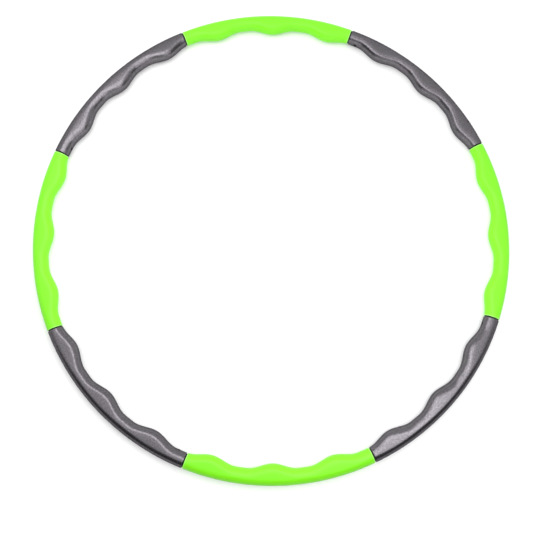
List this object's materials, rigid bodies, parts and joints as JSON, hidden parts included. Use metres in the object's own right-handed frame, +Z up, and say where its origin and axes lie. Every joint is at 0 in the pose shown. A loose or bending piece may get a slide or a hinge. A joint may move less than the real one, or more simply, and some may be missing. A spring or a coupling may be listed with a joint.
{
  "type": "sectional wavy exercise hoop",
  "caption": "Hollow plastic exercise hoop of curved sections with inward bumps, joined by plugs and sprung snap buttons so that it comes apart for travel.",
  "frame": {"origin": "middle of the ring, on the surface that the hoop lies on", "axes": "+Z up along the ring's axis; +X through the middle of section 1; +Y through the middle of section 3, and sections are numbered counter-clockwise seen from above"},
  "size_m": [0.95, 0.95, 0.0288],
  "materials": {
    "lime_shell": "glossy moulded plastic",
    "slate_shell": "satin moulded plastic with a faint metallic fleck",
    "coupling_plug": "matte moulded plastic",
    "spring_steel": "blued spring steel strip",
    "snap_button": "satin moulded plastic"
  },
  "bodies": {
    "section_1": {"section_1": "lime_shell", "plug_1": "coupling_plug", "clip_spring_1": "spring_steel"},
    "section_2": {"section_2": "slate_shell", "plug_2": "coupling_plug", "clip_spring_2": "spring_steel"},
    "section_3": {"section_3": "lime_shell", "plug_3": "coupling_plug", "clip_spring_3": "spring_steel"},
    "section_4": {"section_4": "slate_shell", "plug_4": "coupling_plug", "clip_spring_4": "spring_steel"},
    "section_5": {"section_5": "lime_shell", "plug_5": "coupling_plug", "clip_spring_5": "spring_steel"},
    "section_6": {"section_6": "slate_shell", "plug_6": "coupling_plug", "clip_spring_6": "spring_steel"},
    "section_7": {"section_7": "lime_shell", "plug_7": "coupling_plug", "clip_spring_7": "spring_steel"},
    "section_8": {"section_8": "slate_shell", "plug_8": "coupling_plug", "clip_spring_8": "spring_steel"},
    "snap_button_1": {"snap_button_1": "snap_button"},
    "snap_button_2": {"snap_button_2": "lime_shell"},
    "snap_button_3": {"snap_button_3": "snap_button"},
    "snap_button_4": {"snap_button_4": "lime_shell"},
    "snap_button_5": {"snap_button_5": "snap_button"},
    "snap_button_6": {"snap_button_6": "lime_shell"},
    "snap_button_7": {"snap_button_7": "snap_button"},
    "snap_button_8": {"snap_button_8": "lime_shell"}
  },
  "joints": [
    {"name": "pull_apart_1", "type": "slide", "parent": "section_1", "child": "section_2", "axis": [-0.3827, 0.9239, 0], "range_m": [0, 0.045], "deforming": ["snap_button_2", "snap_button_6"]},
    {"name": "pull_apart_2", "type": "slide", "parent": "section_2", "child": "section_3", "axis": [-0.9239, 0.3827, 0], "range_m": [0, 0.045], "deforming": ["snap_button_3", "snap_button_7"]},
    {"name": "pull_apart_3", "type": "slide", "parent": "section_3", "child": "section_4", "axis": [-0.9239, -0.3827, 0], "range_m": [0, 0.045], "deforming": ["snap_button_4", "snap_button_8"]},
    {"name": "pull_apart_4", "type": "slide", "parent": "section_4", "child": "section_5", "axis": [-0.3827, -0.9239, 0], "range_m": [0, 0.045], "deforming": ["snap_button_5", "snap_button_1"]},
    {"name": "pull_apart_8", "type": "slide", "parent": "section_1", "child": "section_8", "axis": [-0.3827, -0.9239, 0], "range_m": [0, 0.045]},
    {"name": "pull_apart_7", "type": "slide", "parent": "section_8", "child": "section_7", "axis": [-0.9239, -0.3827, 0], "range_m": [0, 0.045]},
    {"name": "pull_apart_6", "type": "slide", "parent": "section_7", "child": "section_6", "axis": [-0.9239, 0.3827, 0], "range_m": [0, 0.045]},
    {"name": "press_button_1", "type": "slide", "parent": "section_1", "child": "snap_button_1", "axis": [0.9239, -0.3827, 0], "range_m": [0, 0.0032], "stiffness_N_per_m": 1200, "deforming": ["clip_spring_1"]},
    {"name": "press_button_2", "type": "slide", "parent": "section_2", "child": "snap_button_2", "axis": [0.9239, 0.3827, 0], "range_m": [0, 0.0032], "stiffness_N_per_m": 1200, "deforming": ["clip_spring_2"]},
    {"name": "press_button_3", "type": "slide", "parent": "section_3", "child": "snap_button_3", "axis": [0.3827, 0.9239, 0], "range_m": [0, 0.0032], "stiffness_N_per_m": 1200, "deforming": ["clip_spring_3"]},
    {"name": "press_button_4", "type": "slide", "parent": "section_4", "child": "snap_button_4", "axis": [-0.3827, 0.9239, 0], "range_m": [0, 0.0032], "stiffness_N_per_m": 1200, "deforming": ["clip_spring_4"]},
    {"name": "press_button_5", "type": "slide", "parent": "section_5", "child": "snap_button_5", "axis": [-0.9239, 0.3827, 0], "range_m": [0, 0.0032], "stiffness_N_per_m": 1200, "deforming": ["clip_spring_5"]},
    {"name": "press_button_6", "type": "slide", "parent": "section_6", "child": "snap_button_6", "axis": [-0.9239, -0.3827, 0], "range_m": [0, 0.0032], "stiffness_N_per_m": 1200, "deforming": ["clip_spring_6"]},
    {"name": "press_button_7", "type": "slide", "parent": "section_7", "child": "snap_button_7", "axis": [-0.3827, -0.9239, 0], "range_m": [0, 0.0032], "stiffness_N_per_m": 1200, "deforming": ["clip_spring_7"]},
    {"name": "press_button_8", "type": "slide", "parent": "section_8", "child": "snap_button_8", "axis": [0.3827, -0.9239, 0], "range_m": [0, 0.0032], "stiffness_N_per_m": 1200, "deforming": ["clip_spring_8"]}
  ],
  "couplings": [
    {"joint": "pull_apart_8", "follows": "pull_apart_4", "ratio": 1},
    {"joint": "pull_apart_7", "follows": "pull_apart_3", "ratio": 1},
    {"joint": "pull_apart_6", "follows": "pull_apart_2", "ratio": 1}
  ]
}
